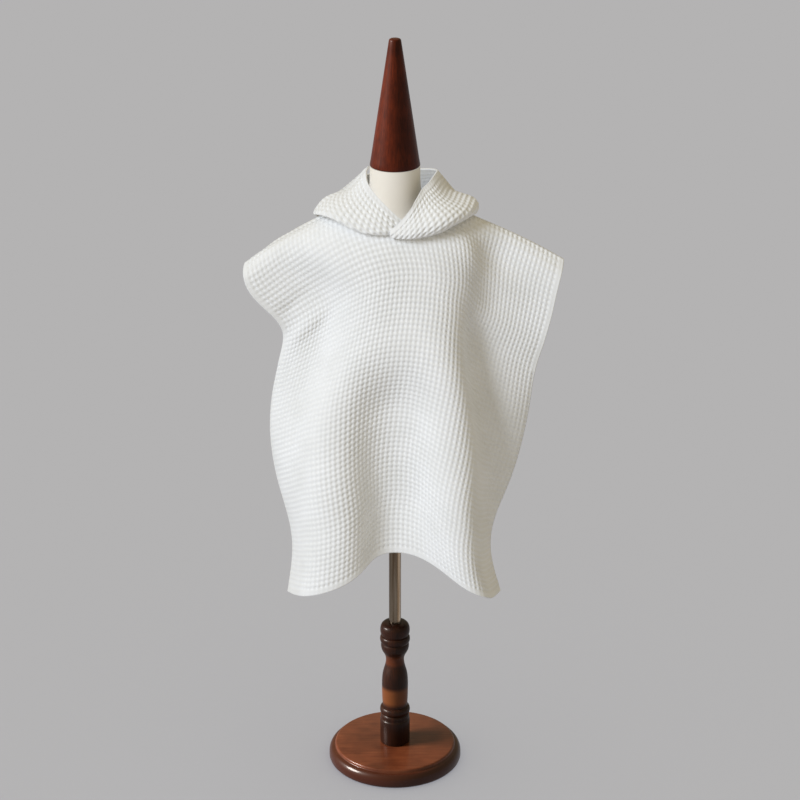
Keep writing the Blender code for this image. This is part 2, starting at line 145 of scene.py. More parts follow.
BACK_FOLDS = (
    # name, from s, from t, to s, to t, left, right, height from, to, fade
    ("left_valley", -0.185, 0.05, -0.245, 0.34, 0.052, 0.055, -0.006, -0.008, 0.12),
    ("left_crest", -0.150, 0.20, -0.180, 0.68, 0.065, 0.060, 0.016, 0.046, 0.20),
    ("left_hollow", -0.070, 0.26, -0.085, 0.68, 0.050, 0.050, -0.008, -0.026, 0.20),
    ("middle_crest", 0.030, 0.24, 0.020, 0.68, 0.052, 0.055, 0.008, 0.024, 0.20),
    ("right_hollow", 0.090, 0.26, 0.105, 0.68, 0.050, 0.050, -0.008, -0.026, 0.20),
    ("right_crest", 0.160, 0.20, 0.190, 0.68, 0.060, 0.060, 0.016, 0.046, 0.20),
)

NET_THREADS = (123, 137)
HOOD_GRID = (200, 150)
HOOD_COLUMNS = HOOD_GRID[0] + 1
HOOD_ROWS = HOOD_GRID[1] + 1

# The hood lies down round the neck. Each row is a section at its place round
# the neckline, 0 at the front and 1 at the centre back, and each pair is a
# distance out from the neck seam and up from it, in millimetres.
HOOD_SECTIONS = {
    LEFT: (
        # place, under,   fold,        swell,       crown,      rim
        (-0.08, (0, 2), (0, 4), (0, 7), (-1, 11), (-2, 16)),
        (0.00, (0, 2), (1, 5), (1, 10), (0, 17), (-3, 26)),
        (0.10, (4, -1), (9, 1), (9, 11), (3, 26), (-6, 43)),
        (0.25, (12, -4), (25, -2), (21, 12), (4, 33), (-15, 58)),
        (0.375, (22, -3), (46, 2), (36, 14), (6, 34), (-20, 65)),
        (0.50, (30, -8), (66, -17), (46, 6), (8, 26), (-24, 66)),
        (0.625, (34, -12), (70, -36), (66, -14), (22, 17), (-14, 54)),
        (0.75, (34, -22), (72, -76), (84, -46), (52, 13), (13, 47)),
        (1.00, (26, -16), (56, -118), (80, -88), (84, -8), (68, 46)),
    ),
    RIGHT: (
        (-0.08, (4, -3), (7, -2), (9, 1), (8, 4), (5, 7)),
        (0.00, (5, -3), (11, -2), (13, 5), (9, 15), (3, 27)),
        (0.10, (9, -5), (18, -3), (23, 8), (11, 29), (-2, 52)),
        (0.25, (18, -8), (34, -5), (42, 9), (13, 35), (-14, 59)),
        (0.375, (26, -7), (50, -8), (60, 4), (24, 27), (-8, 56)),
        (0.50, (32, -8), (67, -17), (70, -4), (24, 22), (0, 57)),
        (0.625, (34, -14), (70, -36), (68, -13), (30, 22), (9, 52)),
        (0.75, (34, -22), (72, -76), (84, -48), (60, 18), (28, 55)),
        (1.00, (26, -16), (56, -118), (80, -88), (84, -8), (68, 46)),
    ),
}
HOOD_OVERLAP = {LEFT: 0.05, RIGHT: 0.07}
HOOD_LAP_GAP = 0.0015
MILLIMETRE = 0.001

# ------------------------------------------------------------ dress form sizes
BASE_RADIUS = 0.1225
BASE_THICKNESS = 0.033
POST_TOP = 0.280
POLE_RADIUS = 0.011
TORSO_BOTTOM = 0.600
NECK_RADIUS = 0.043
NECK_TOP = 1.150
CAP_TOP = 1.370
CAP_TIP_RADIUS = 0.0105

# Torso sections, with half width and half depth.
TORSO_SECTIONS = (
    # z,     wide,   deep
    (0.600, 0.072, 0.041),
    (0.603, 0.082, 0.048),
    (0.612, 0.090, 0.053),
    (0.640, 0.096, 0.057),
    (0.700, 0.095, 0.056),
    (0.780, 0.089, 0.061),
    (0.860, 0.094, 0.064),
    (0.930, 0.104, 0.066),
    (0.980, 0.114, 0.063),
    (1.010, 0.119, 0.058),
    (1.030, 0.117, 0.053),
    (1.042, 0.108, 0.050),
    (1.053, 0.092, 0.047),
    (1.064, 0.070, 0.045),
    (1.075, 0.053, 0.043),
    (1.090, 0.047, 0.043),
    (1.110, 0.044, 0.043),
    (1.130, 0.043, 0.043),
    (1.150, 0.043, 0.043),
)

# ------------------------------------------------------------------- mathematics
def spline(knots, values, at):
    """Natural cubic spline through values at knots, read at the given places."""
    knots = np.asarray(knots, float)
    values = np.asarray(values, float)
    at = np.asarray(at, float)
    count = len(knots)
    gap = np.diff(knots)
    matrix = np.eye(count)
    right = np.zeros(count)
    for i in range(1, count - 1):
        matrix[i, i - 1:i + 2] = gap[i - 1], 2 * (gap[i - 1] + gap[i]), gap[i]
        right[i] = 6 * ((values[i + 1] - values[i]) / gap[i] - (values[i] - values[i - 1]) / gap[i - 1])
    bend = np.linalg.solve(matrix, right)
    i = np.clip(np.searchsorted(knots, at) - 1, 0, count - 2)
    after = at - knots[i]
    before = knots[i + 1] - at
    curve = (bend[i] * before ** 3 + bend[i + 1] * after ** 3) / (6 * gap[i])
    lower = (values[i] / gap[i] - bend[i] * gap[i] / 6) * before
    upper = (values[i + 1] / gap[i] - bend[i + 1] * gap[i] / 6) * after
    return curve + lower + upper


def smooth(x):
    """0 below 0, 1 above 1, and a soft step between."""
    x = np.clip(x, 0.0, 1.0)
    return x * x * (3 - 2 * x)


def bell(x):
    return np.exp(-x ** 2)

# ------------------------------------------------------------------- cloth panels
def fold_height(folds, s, t):
    """Sum of the table's folds at (s, t)."""
    total = np.zeros_like(s)
    for _, s0, t0, s1, t1, left, right, height0, height1, fade in folds:
        along = (t - t0) / (t1 - t0)
        height = height0 + (height1 - height0) * smooth(along)
        height *= smooth((t - t0) / fade)
        if t1 < PANEL_LENGTH:
            height *= smooth((t1 + fade - t) / fade)
        off = s - (s0 + (s1 - s0) * np.clip(along, 0.0, 1.3))
        total += height * bell(off / np.where(off < 0, left, right))
    edge_fade = 1 - np.abs(2 * s / PANEL_WIDTH) ** 8
    return total * edge_fade * smooth(t / 0.05)


def panel_depth(side, s, t):
    """How far the panel stands off the shoulder plane at (s, t)."""
    drape = FRONT_DRAPE if side == FRONT else BACK_DRAPE
    folds = FRONT_FOLDS if side == FRONT else BACK_FOLDS
    span = np.where(s < BODY_CENTRE, BODY_HALF_SPAN[LEFT], BODY_HALF_SPAN[RIGHT])
    over_body = np.exp(-np.abs((s - BODY_CENTRE) / span) ** 4)
    wing = np.where(s < 0, WING_DRAPE[LEFT], WING_DRAPE[RIGHT])
    shoulder = wing + (drape["body"] - wing) * over_body
    roll = np.array([math.erf(x) for x in t * 0.86 / shoulder])
    hem = drape["hem"] * (1 - np.abs(2 * s / PANEL_WIDTH) ** 1.8)
    lower = smooth((t - 0.10) / 0.45)
    return shoulder * roll * (1 - lower) + hem * lower + fold_height(folds, s, t)


def side_seams(t):
    """Each side edge at distances t down: x, y, half the armhole's gap, and z."""
    table = np.array(SIDE_EDGES)
    opening = (1 - smooth(t / ARMHOLE_LENGTH)) * smooth(t / 0.03)
    seams = {}
    for half, column, shoulder in ((LEFT, 1, SHOULDER_LINE[0]), (RIGHT, 3, SHOULDER_LINE[-1])):
        x, y = (spline(table[:, 0], table[:, column + k], t) for k in (0, 1))
        gap = ARMHOLE_HALF_GAP[half] * opening
        moved = np.diff(x) ** 2 + np.diff(y) ** 2 + np.diff(gap) ** 2
        fall = np.sqrt(np.clip(np.diff(t) ** 2 - moved, 0, None))
        seams[half] = x, y, gap, shoulder[1] - np.r_[0, np.cumsum(fall)]
    return seams


def panel_net(side):
    """The panel's inner face, as thread crossings at even s and t."""
    count_s, count_t = NET_THREADS
    s = np.linspace(-PANEL_WIDTH / 2, PANEL_WIDTH / 2, count_s)
    t = np.linspace(0, PANEL_LENGTH, count_t)
    step_s, step_t = s[1] - s[0], t[1] - t[0]
    line = np.array(SHOULDER_LINE)
    chord = np.r_[0, np.cumsum(np.hypot(*np.diff(line, axis=0).T))]
    share = (s / PANEL_WIDTH + 0.5) * chord[-1]
    seams = side_seams(t)
    from_edge = {LEFT: s - s[0], RIGHT: s[-1] - s}
    near = {half: bell(away / EDGE_REACH) for half, away in from_edge.items()}
    turn = {half: np.clip(1 - away / TURN_REACH[half], 0, 1) ** 2 for half, away in from_edge.items()}
    dip = FRONT_DIP["stretch"] * (side == FRONT)
    thread = step_t * (1 + dip * bell((s - FRONT_DIP["centre"]) / FRONT_DIP["reach"]))
    ends = {LEFT: 0, RIGHT: -1}
    net = np.zeros((count_t, count_s, 3))
    net[0, :, 0] = spline(chord, line[:, 0], share)
    net[0, :, 2] = spline(chord, line[:, 1], share)
    for j in range(1, count_t):
        row, above = net[j], net[j - 1]
        row[:, 1] = side * panel_depth(side, s, np.full_like(s, t[j]))
        for half, (_, y, gap, _) in seams.items():
            row[:, 1] += (y[j] + side * gap[j] - row[ends[half], 1]) * turn[half]
        slope = (np.diff(row[:, 1]) ** 2 + np.diff(above[:, 2]) ** 2) / step_s ** 2
        across = np.r_[0, np.cumsum(np.sqrt(np.clip(1 - slope, 0.06, 1)))]
        left_x, right_x = seams[LEFT][0][j], seams[RIGHT][0][j]
        row[:, 0] = left_x + (right_x - left_x) * across / across[-1]
        moved = ((row[:, :2] - above[:, :2]) ** 2).sum(axis=1)
        row[:, 2] = above[:, 2] - np.sqrt(np.clip(thread ** 2 - moved, (0.1 * step_t) ** 2, None))
        row[1:-1, 2] = (row[:-2, 2] + 2 * row[1:-1, 2] + row[2:, 2]) / 4
        for half, (_, _, _, z) in seams.items():
            row[:, 2] += (z[j] - row[ends[half], 2]) * near[half]
    net[:, :, 1] += side * SEAM_GAP / 2
    return net


def net_normals(net, side):
    """Unit normals of a net, pointing away from the body."""
    across = np.gradient(net, axis=1)
    down = np.gradient(net, axis=0)
    normal = side * np.cross(across, down)
    return normal / np.linalg.norm(normal, axis=2, keepdims=True)


def read_net(grid, s, t):
    """Values of a net's grid between its threads, at (s, t)."""
    count_s, count_t = NET_THREADS
    i = np.clip((s / PANEL_WIDTH + 0.5) * (count_s - 1), 0, count_s - 1.001)
    j = np.clip(t / PANEL_LENGTH * (count_t - 1), 0, count_t - 1.001)
    i0, j0 = i.astype(int), j.astype(int)
    u, v = (i - i0)[..., None], (j - j0)[..., None]
    top = grid[j0, i0] * (1 - u) + grid[j0, i0 + 1] * u
    bottom = grid[j0 + 1, i0] * (1 - u) + grid[j0 + 1, i0 + 1] * u
    return top * (1 - v) + bottom * v


def neckline(side, s):
    """Where the panel's neckline lies at s, as a distance down the panel."""
    drop = FRONT_NECK_DROP if side == FRONT else BACK_NECK_DROP
    return drop * np.sqrt(np.clip(1 - ((s - NECKLINE_CENTRE) / NECKLINE_HALF_WIDTH) ** 2, 0, 1))

def neck_seam(half, place, nets, normals):
    """Point of the neck seam at a place round it, and the way out from the neck."""
    angle = place * math.pi
    side = FRONT if angle <= math.pi / 2 else BACK
    s = np.array([NECKLINE_CENTRE + half * NECKLINE_HALF_WIDTH * math.sin(angle)])
    t = neckline(side, s)
    point = read_net(nets[side], s, t)[0]
    normal = read_net(normals[side], s, t)[0]
    outward = np.array([half * math.sin(angle), -math.cos(angle), 0.0])
    seam = point + normal * (2 * WALL + SEAM_GAP)
    if half == RIGHT:
        seam += outward * (WALL + HOOD_LAP_GAP) * (1 - smooth((place - HOOD_OVERLAP[LEFT]) / 0.1))
    return seam, outward


def hood_section(half, place):
    """Offsets out and up along the hood's section at a place round the neck."""
    table = HOOD_SECTIONS[half]
    places = [row[0] for row in table]
    offsets = np.array([((0, 0), *row[1:]) for row in table], float) * MILLIMETRE
    knots = np.array([
        [float(spline(places, offsets[:, k, c], place)) for c in (0, 1)]
        for k in range(offsets.shape[1])
    ])
    chord = np.r_[0, np.cumsum(np.hypot(*np.diff(knots, axis=0).T))]
    share = np.linspace(0, chord[-1], HOOD_GRID[1] + 1)
    return spline(chord, knots[:, 0], share), spline(chord, knots[:, 1], share)


# ---------------------------------------------------------------------- materials
def linear(hex_colour):
    """Linear red, green, blue and alpha of an sRGB hex colour."""
    channels = [int(hex_colour[k:k + 2], 16) / 255 for k in (1, 3, 5)]
    return tuple(c / 12.92 if c <= 0.04045 else ((c + 0.055) / 1.055) ** 2.4 for c in channels) + (1.0,)


def new_material(name, colour, roughness, **sockets):
    """A Principled material; returns it, its node tree and its shader."""
    material = bpy.data.materials.new(name)
    material.use_nodes = True
    tree = material.node_tree
    shader = tree.nodes["Principled BSDF"]
    shader.inputs["Base Color"].default_value = linear(colour)
    shader.inputs["Roughness"].default_value = roughness
    for socket, value in sockets.items():
        shader.inputs[socket.replace("_", " ")].default_value = value
    return material, tree, shader


def add_node(tree, kind, settings=None, inputs=None, links=None):
    """Adds a node with its settings and inputs; links feed inputs from (node, output)."""
    node = tree.nodes.new(kind)
    for key, value in (settings or {}).items():
        setattr(node, key, value)
    for key, value in (inputs or {}).items():
        node.inputs[key].default_value = value
    for key, (source, output) in (links or {}).items():
        tree.links.new(source.outputs[output], node.inputs[key])
    return node


def add_ramp(tree, source, output, stops):
    """A colour ramp of (place, hex colour) stops, fed by a node's output."""
    ramp = add_node(tree, "ShaderNodeValToRGB", links={"Fac": (source, output)})
    elements = ramp.color_ramp.elements
    while len(elements) < len(stops):
        elements.new(0.5)
    for element, (place, colour) in zip(elements, stops):
        element.position = place
        element.color = linear(colour)
    return ramp


def waffle_cotton(name, woven_pits):
    """Bleached cotton in a waffle weave: matt, softly fuzzy, warm white, with
    fine yarns about 1.2 mm apart. Where the pits aren't in the mesh, as on the
    reverse, woven_pits draws them as a bump."""
    material, tree, shader = new_material(
        name, "#f3f3f2", 0.92, Sheen_Weight=0.18, Sheen_Roughness=0.6, Specular_IOR_Level=0.25
    )
    uv = add_node(tree, "ShaderNodeTexCoord")
    yarn_scale = (1 / 0.0012, 1 / 0.0012, 1)
    yarns = add_node(
        tree, "ShaderNodeMapping", inputs={"Scale": yarn_scale}, links={"Vector": (uv, "UV")}
    )
    weft = add_node(
        tree, "ShaderNodeTexWave", {"bands_direction": "Y"},
        {"Scale": 0.314, "Distortion": 1.4, "Detail": 1.0, "Detail Scale": 1.0},
        {"Vector": (yarns, "Vector")}
    )
    fuzz = add_node(
        tree, "ShaderNodeTexNoise", inputs={"Scale": 0.55, "Detail": 3.0},
        links={"Vector": (yarns, "Vector")}
    )
    cloudy = add_node(
        tree, "ShaderNodeTexNoise", inputs={"Scale": 14.0, "Detail": 3.0}, links={"Vector": (uv, "UV")}
    )
    ramp = add_ramp(tree, cloudy, "Fac", ((0.30, "#f0f0ee"), (0.70, "#f7f7f6")))
    tree.links.new(ramp.outputs["Color"], shader.inputs["Base Color"])
    bump = add_node(
        tree, "ShaderNodeBump", inputs={"Strength": 0.35, "Distance": 0.0003},
        links={"Height": (weft, "Fac")}
    )
    bump = add_node(
        tree, "ShaderNodeBump", inputs={"Strength": 0.5, "Distance": 0.0004},
        links={"Height": (fuzz, "Fac"), "Normal": (bump, "Normal")}
    )
    if woven_pits:
        cell_scale = (1 / CELL_ACROSS, 1 / CELL_DOWN, 1)
        cells = add_node(
            tree, "ShaderNodeMapping", inputs={"Scale": cell_scale}, links={"Vector": (uv, "UV")}
        )
        waves = [
            add_node(
                tree, "ShaderNodeTexWave", {"bands_direction": way}, {"Scale": 0.314159},
                {"Vector": (cells, "Vector")}
            )
            for way in ("X", "Y")
        ]
        pits = add_node(
            tree, "ShaderNodeMath", {"operation": "MULTIPLY"},
            links={0: (waves[0], "Fac"), 1: (waves[1], "Fac")}
        )
        bump = add_node(
            tree, "ShaderNodeBump", {"invert": True}, {"Strength": 0.9, "Distance": PIT_DEPTH},
            {"Height": (pits, "Value"), "Normal": (bump, "Normal")}
        )
    tree.links.new(bump.outputs["Normal"], shader.inputs["Normal"])
    return material


def stained_wood(name, dark, light, grain_way, coat, bands):
    """Beech turned on a lathe, stained red-brown and varnished: fine dark grain
    under a smooth clear coat that gives sharp highlights. Each band is (low,
    high, soft, tint): between those heights, with edges that fade over soft,
    the colour turns to the tint, paler where the stain is worn and darker where shade is painted."""
    material, tree, shader = new_material(
        name, light, 0.42, Coat_Weight=coat, Coat_Roughness=0.15, Specular_IOR_Level=0.12
    )
    place = add_node(tree, "ShaderNodeTexCoord")
    # Grain lines are about 3 mm apart across and 20 times as long.
    stretch = {"X": (16, 330, 330), "Z": (330, 330, 16)}[grain_way]
    mapping = add_node(
        tree, "ShaderNodeMapping", inputs={"Scale": stretch}, links={"Vector": (place, "Object")}
    )
    grain = add_node(
        tree, "ShaderNodeTexNoise",
        inputs={"Scale": 1.0, "Detail": 6.0, "Roughness": 0.62, "Distortion": 0.6},
        links={"Vector": (mapping, "Vector")}
    )
    blotch = add_node(
        tree, "ShaderNodeTexNoise", inputs={"Scale": 18.0, "Detail": 2.0},
        links={"Vector": (place, "Object")}
    )
    ramp = add_ramp(tree, grain, "Fac", ((0.32, dark), (0.68, light)))
    tone = add_ramp(tree, blotch, "Fac", ((0.30, "#9c9490"), (0.72, "#ffffff")))
    mixed = add_node(
        tree, "ShaderNodeMix", {"data_type": "RGBA", "blend_type": "MULTIPLY"}, {"Factor": 0.8}
    )
    tree.links.new(ramp.outputs["Color"], mixed.inputs["A"])
    tree.links.new(tone.outputs["Color"], mixed.inputs["B"])
    colour = mixed.outputs["Result"]
    split = add_node(tree, "ShaderNodeSeparateXYZ", links={"Vector": (place, "Object")})
    for low, high, soft, tint in bands:
        edges = [
            add_node(
                tree, "ShaderNodeMapRange", {"interpolation_type": "SMOOTHSTEP"},
                {"From Min": start, "From Max": end}, {"Value": (split, "Z")}
            )
            for start, end in ((low - soft, low), (high + soft, high))
        ]
        both = add_node(
            tree, "ShaderNodeMath", {"operation": "MULTIPLY"},
            links={0: (edges[0], "Result"), 1: (edges[1], "Result")}
        )
        # Each band's tint: paler worn stain on the post, painted shade on the base's rim.
        wear_and_shade = add_node(
            tree, "ShaderNodeMix", {"data_type": "RGBA"}, links={"Factor": (both, "Value")}
        )
        tree.links.new(colour, wear_and_shade.inputs["A"])
        wear_and_shade.inputs["B"].default_value = linear(tint)
        colour = wear_and_shade.outputs["Result"]
    tree.links.new(colour, shader.inputs["Base Color"])
    bump = add_node(
        tree, "ShaderNodeBump", inputs={"Strength": 0.12, "Distance": 0.0002},
        links={"Height": (grain, "Fac")}
    )
    tree.links.new(bump.outputs["Normal"], shader.inputs["Normal"])
    return material


def close_cotton(name):
    """Unbleached close-woven cotton stretched over padding: matt, with a
    barely visible plain weave of 1 mm."""
    material, tree, shader = new_material(
        name, "#efebe3", 0.88, Sheen_Weight=0.15, Specular_IOR_Level=0.25
    )
    place = add_node(tree, "ShaderNodeTexCoord")
    mapping = add_node(
        tree, "ShaderNodeMapping", inputs={"Scale": (1000, 1000, 1000)},
        links={"Vector": (place, "Object")}
    )
    waves = [
        add_node(
            tree, "ShaderNodeTexWave", {"bands_direction": way}, {"Scale": 0.314, "Distortion": 0.5},
            {"Vector": (mapping, "Vector")}
        )
        for way in ("X", "Z")
    ]
    weave = add_node(
        tree, "ShaderNodeMath", {"operation": "ADD"},
        links={0: (waves[0], "Fac"), 1: (waves[1], "Fac")}
    )
    bump = add_node(
        tree, "ShaderNodeBump", inputs={"Strength": 0.3, "Distance": 0.0003},
        links={"Height": (weave, "Value")}
    )
    tree.links.new(bump.outputs["Normal"], shader.inputs["Normal"])
    return material


def polished_steel(name):
    """Drawn steel tube, polished and gone dull: mirror-like with fine rub marks
    along it about 0.3 mm apart, under a brown oxide in streaks 4 mm wide whose
    lighter and darker stripes are painted reflection."""
    material, tree, shader = new_material(name, "#7b6c60", 0.22, Metallic=1.0)
    place = add_node(tree, "ShaderNodeTexCoord")
    mapping = add_node(
        tree, "ShaderNodeMapping", inputs={"Scale": (3300, 3300, 60)},
        links={"Vector": (place, "Object")}
    )
    marks = add_node(
        tree, "ShaderNodeTexNoise", inputs={"Scale": 1.0, "Detail": 3.0},
        links={"Vector": (mapping, "Vector")}
    )
    rough = add_node(
        tree, "ShaderNodeMapRange", inputs={"To Min": 0.16, "To Max": 0.34},
        links={"Value": (marks, "Fac")}
    )
    tree.links.new(rough.outputs["Result"], shader.inputs["Roughness"])
    streaks = add_node(
        tree, "ShaderNodeMapping", inputs={"Scale": (180, 180, 5)}, links={"Vector": (place, "Object")}
    )
    tarnish_and_reflection = add_node(
        tree, "ShaderNodeTexNoise", inputs={"Scale": 1.0, "Detail": 2.0},
        links={"Vector": (streaks, "Vector")}
    )
    # Painted reflection: the lighter and darker brown streaks stand in for what the tube reflects; the
    # brown is its oxide.
    ramp = add_ramp(tree, tarnish_and_reflection, "Fac", ((0.36, "#655443"), (0.70, "#8d8071")))
    tree.links.new(ramp.outputs["Color"], shader.inputs["Base Color"])
    return material


# ------------------------------------------------------------------- cloth meshes
def soften(grid, passes):
    """Evens out a grid of points between its borders."""
    grid = grid.copy()
    for _ in range(passes):
        for axis in (0, 1):
            rows = np.moveaxis(grid, axis, 0)
            rows[1:-1] = (rows[:-2] + 2 * rows[1:-1] + rows[2:]) / 4
    return grid


def resample(grid, count, axis):
    """Reads a grid at count even places along an axis, on cubic curves."""
    rows = np.moveaxis(grid, axis, 0)
    place = np.linspace(0, len(rows) - 1, count)
    first = np.clip(place.astype(int), 0, len(rows) - 2)
    part = (place - first).reshape(-1, *[1] * (rows.ndim - 1))
    before, a = rows[np.maximum(first - 1, 0)], rows[first]
    b, after = rows[first + 1], rows[np.minimum(first + 2, len(rows) - 1)]
    curve = (
        2 * a + (b - before) * part + (2 * before - 5 * a + 4 * b - after) * part ** 2
        + (3 * a - before - 3 * b + after) * part ** 3
    ) / 2
    return np.moveaxis(curve, 0, axis)


def read_grid(grid, i, j):
    """Values of a grid between its points, at column i and row j."""
    rows, columns = grid.shape[:2]
    i, j = np.clip(i, 0, columns - 1.001), np.clip(j, 0, rows - 1.001)
    i0, j0 = i.astype(int), j.astype(int)
    u, v = (i - i0)[..., None], (j - j0)[..., None]
    top = grid[j0, i0] * (1 - u) + grid[j0, i0 + 1] * u
    bottom = grid[j0 + 1, i0] * (1 - u) + grid[j0 + 1, i0 + 1] * u
    return top * (1 - v) + bottom * v


def rib_height(u, v):
    """The weave at cell places (u, v): 1 on the ribs between cells, 0 in a pit."""
    return 1 - (np.sin(np.pi * u) ** 2 * np.sin(np.pi * v) ** 2) ** 0.75


def unevenness(u, v):
    """A slow drift between 0.88 and 1.12, so that no two areas are woven alike."""
    across = np.sin(0.31 * u + 1.3 * np.sin(0.17 * v))
    down = np.cos(0.23 * v + 0.7 * np.sin(0.29 * u))
    return 1 + 0.12 * across * down


def make_cloth(name, points, faces, uvs, materials, reverse_from):
    """A cloth piece from its points and faces. Faces from reverse_from on are
    the cloth's reverse."""
    mesh = bpy.data.meshes.new(name)
    mesh.from_pydata(points.tolist(), [], faces)
    for material in materials:
        mesh.materials.append(material)
    slots = np.zeros(len(faces), np.int32)
    slots[reverse_from:] = 1
    mesh.polygons.foreach_set("material_index", slots)
    corners = np.zeros(len(mesh.loops), np.int32)
    mesh.loops.foreach_get("vertex_index", corners)
    layer = mesh.uv_layers.new(name="cloth")
    layer.data.foreach_set("uv", uvs[corners].astype(np.float32).ravel())
    mesh.validate()
    mesh.shade_smooth()
    piece = bpy.data.objects.new(name, mesh)
    bpy.context.scene.collection.objects.link(piece)
    bm = bmesh.new()
    bm.from_mesh(mesh)
    bmesh.ops.recalc_face_normals(bm, faces=bm.faces)
    bm.to_mesh(mesh)
    bm.free()
    return piece


def grid_faces(index):
    """Quads of a grid of point numbers; a corner that repeats is left out."""
    faces = []
    for quad in zip(
        index[:-1, :-1].ravel(), index[:-1, 1:].ravel(), index[1:, 1:].ravel(), index[1:, :-1].ravel()
    ):
        corners = [int(c) for k, c in enumerate(quad) if c != quad[k - 1]]
        if len(corners) > 2:
            faces.append(corners)
    return faces


def rim_faces(outer, inner, step):
    """Faces between two borders; the inner one has a point for every step."""
    faces = []
    for k in range(len(inner) - 1):
        far = [int(c) for c in outer[k * step:(k + 1) * step + 1]][::-1]
        ring = [int(inner[k]), int(inner[k + 1])] + far
        ring = [c for k, c in enumerate(ring) if c != ring[k - 1]]
        if len(ring) > 2:
            faces.append(ring)
    return faces


def border(index):
    """A grid's border, once round and back to its start."""
    return np.concatenate([index[0, :-1], index[:-1, -1], index[-1, :0:-1], index[::-1, 0]])


def panel_cloth(name, side, net, materials):
    """A panel with its waffle in the mesh and turned bands at hem and armholes."""
    columns = CELLS_ACROSS * CELL_STEPS + 1
    rows = CELLS_DOWN * CELL_STEPS + 1
    fine = resample(resample(soften(net, 2), columns, 1), rows, 0)
    normals = net_normals(fine, side)
    s, t = np.meshgrid(
        np.linspace(-0.5, 0.5, columns) * PANEL_WIDTH, np.linspace(0, PANEL_LENGTH, rows)
    )
    start = neckline(side, s)
    top = np.minimum((start[0] / PANEL_LENGTH * (rows - 1) + 0.3).astype(int), rows - 2)
    cut = np.arange(rows)[:, None] <= top[None, :]
    t = np.where(cut & (start > 0), np.maximum(start, 0), t)
    place_i = (s / PANEL_WIDTH + 0.5) * (columns - 1)
    place_j = t / PANEL_LENGTH * (rows - 1)
    inner = read_grid(fine, place_i, place_j)
    normal = read_grid(normals, place_i, place_j)
    u, v = s / CELL_ACROSS, t / CELL_DOWN
    edge = PANEL_WIDTH / 2 - np.abs(s)
    from_hem = PANEL_LENGTH - t
    in_armhole = t < ARMHOLE_LENGTH
    hem = 1 - smooth((from_hem - BAND_WIDTH) / BAND_EDGE + 1)
    cuff = 1 - smooth((edge - BAND_WIDTH) / BAND_EDGE + 1)
    cuff = cuff * (1 - smooth((t - ARMHOLE_LENGTH) / 0.004))
    band = np.maximum(hem, cuff)
    sewn = bell(edge / SEAM_HALF_WIDTH) * smooth((t - ARMHOLE_LENGTH) / 0.01)
    sewn = sewn + bell(t / SEAM_HALF_WIDTH) * (start <= 0)
    groove = bell((from_hem - BAND_WIDTH) / GROOVE_HALF_WIDTH)
    groove = groove + bell((edge - BAND_WIDTH) / GROOVE_HALF_WIDTH) * in_armhole
    relief = RIB_PROUD - PIT_DEPTH * (1 - rib_height(u, v)) * unevenness(u, v)
    relief = relief * (1 - BAND_PRESS * band) + BAND_THICK * band
    relief -= SEAM_SINK * np.clip(sewn, 0, 1) + GROOVE_DEPTH * np.clip(groove, 0, 1)
    outer = inner + normal * (WALL + relief)[..., None]
    index = np.arange(rows * columns).reshape(rows, columns)
    first = np.where(start[0] > 0, top, 0)
    lowered = np.maximum(np.arange(rows)[:, None], first[None, :])
    index = index[lowered, np.arange(columns)[None, :]]
    coarse = slice(None, None, CELL_STEPS)
    reverse = index[coarse, coarse] + rows * columns
    points = np.concatenate([outer.reshape(-1, 3), inner.reshape(-1, 3)])
    faces = grid_faces(index) + rim_faces(border(index), border(reverse), CELL_STEPS)
    reverse_from = len(faces)
    faces += grid_faces(reverse[:, ::-1])
    uvs = np.stack([s.ravel(), -t.ravel()], axis=1)
    uvs = np.concatenate([uvs, uvs])
    used = np.unique(np.concatenate([np.array(f) for f in faces]))
    renumber = np.zeros(len(points), int)
    renumber[used] = np.arange(len(used))
    faces = [[int(renumber[c]) for c in face] for face in faces]
    return make_cloth(name, points[used], faces, uvs[used], materials, reverse_from)


